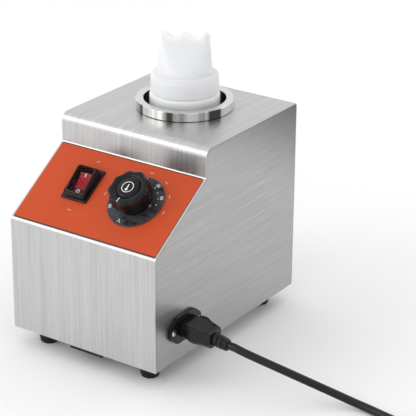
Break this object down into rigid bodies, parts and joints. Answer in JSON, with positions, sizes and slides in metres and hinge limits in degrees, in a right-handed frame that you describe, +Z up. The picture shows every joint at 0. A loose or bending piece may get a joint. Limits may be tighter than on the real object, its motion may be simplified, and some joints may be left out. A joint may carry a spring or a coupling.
{
  "type": "nacho cheese dispenser",
  "caption": "Countertop sauce warmer: brushed stainless housing with a sloping control panel and a heated round well holding a squeeze bottle, on rubber feet.",
  "frame": {"origin": "centre of the housing's footprint, on the surface that the feet stand on", "axes": "+Z up, -Y is the front with the sloping control panel, +X is the side with the mains inlet"},
  "size_m": [0.4912, 0.3055, 0.2942],
  "materials": {
    "brushed_stainless": "brushed",
    "polished_stainless": "polished",
    "galvanised_steel": "matt zinc",
    "orange_film": "printed film, satin",
    "black_plastic": "moulded, semi-gloss",
    "grey_plastic": "matt, printed scale",
    "black_rubber": "matt",
    "red_lens": "gloss, translucent",
    "clear_boot": "clear, flexible",
    "milky_plastic": "milky, satin",
    "silicone": "matt",
    "glass_wool": "fibrous",
    "copper": "drawn",
    "brass": "plain",
    "wire_red": "satin",
    "wire_blue": "satin",
    "wire_green": "satin"
  },
  "bodies": {
    "housing": {"base_plate": "galvanised_steel", "base_screw_front_left": "polished_stainless", "base_screw_front_right": "polished_stainless", "base_screw_rear_left": "polished_stainless", "base_screw_rear_right": "polished_stainless", "base_vent": "black_plastic", "control_overlay": "orange_film", "dial_bezel": "grey_plastic", "earth_stud": "brass", "foot_front_left": "black_rubber", "foot_front_right": "black_rubber", "foot_rear_left": "black_rubber", "foot_rear_right": "black_rubber", "foot_screw_front_left": "galvanised_steel", "foot_screw_front_right": "galvanised_steel", "foot_screw_rear_left": "galvanised_steel", "foot_screw_rear_right": "galvanised_steel", "heater_band": "silicone", "heater_clamp_screw": "galvanised_steel", "inlet_housing": "black_plastic", "inlet_pin_earth": "brass", "inlet_pin_live": "brass", "inlet_pin_neutral": "brass", "inlet_screw_front": "polished_stainless", "inlet_screw_rear": "polished_stainless", "insulation_sleeve": "glass_wool", "side_panel_left": "brushed_stainless", "side_panel_right": "brushed_stainless", "switch_boot": "clear_boot", "switch_housing": "black_plastic", "thermal_cutout": "black_plastic", "thermostat_body": "galvanised_steel", "thermostat_capillary": "copper", "thermostat_screw_left": "galvanised_steel", "thermostat_screw_right": "galvanised_steel", "well_cup": "brushed_stainless", "well_ring": "polished_stainless", "wire_cutout": "wire_red", "wire_earth": "wire_green", "wire_heater": "wire_red", "wire_live": "wire_red", "wire_neutral": "wire_blue", "wire_switched": "wire_red", "wrap_panel": "brushed_stainless"},
    "rocker": {"rocker": "red_lens"},
    "knob": {"knob": "black_plastic", "thermostat_shaft": "brass"},
    "bottle": {"bottle_body": "milky_plastic"},
    "base_cap": {"bottle_base_cap": "milky_plastic"},
    "cap_seal": {"cap_gasket": "silicone"},
    "nozzle": {"nozzle_cap": "milky_plastic"},
    "lead": {"cord_connector": "black_plastic", "cord_run": "black_rubber", "cord_coil": "black_rubber", "coil_tie": "black_rubber", "cord_tail": "black_rubber", "mains_plug": "black_rubber", "plug_blade_live": "brass", "plug_blade_neutral": "brass", "plug_ground_pin": "brass"}
  },
  "joints": [
    {"name": "rocker_tilt", "type": "hinge", "parent": "housing", "child": "rocker", "pos_m": [-0.032, -0.07418, 0.16618], "axis": [-1, 0, 0], "range_deg": [0, 20]},
    {"name": "knob_turn", "type": "hinge", "parent": "housing", "child": "knob", "pos_m": [0.0323, -0.07627, 0.1648], "axis": [0, 0.5509, -0.8346], "range_deg": [0, 285]},
    {"name": "bottle_lift", "type": "slide", "parent": "housing", "child": "bottle", "axis": [0, 0, 1], "range_m": [0, 0.17]},
    {"name": "base_cap_turn", "type": "hinge", "parent": "bottle", "child": "base_cap", "pos_m": [0, 0.0481, 0.0642], "axis": [0, 0, -1], "range_deg": [0, 540]},
    {"name": "cap_rise", "type": "slide", "parent": "bottle", "child": "cap_seal", "axis": [0, 0, 1], "range_m": [0, 0.006]},
    {"name": "cap_turn", "type": "hinge", "parent": "cap_seal", "child": "nozzle", "pos_m": [0, 0.0481, 0.2355], "axis": [0, 0, 1], "range_deg": [0, 540]},
    {"name": "lead_unplug", "type": "slide", "parent": "housing", "child": "lead", "axis": [1, 0, 0], "range_m": [0, 0.03]}
  ],
  "couplings": [
    {"joint": "cap_turn", "follows": "cap_rise", "rad_per_m": 1570.8}
  ]
}
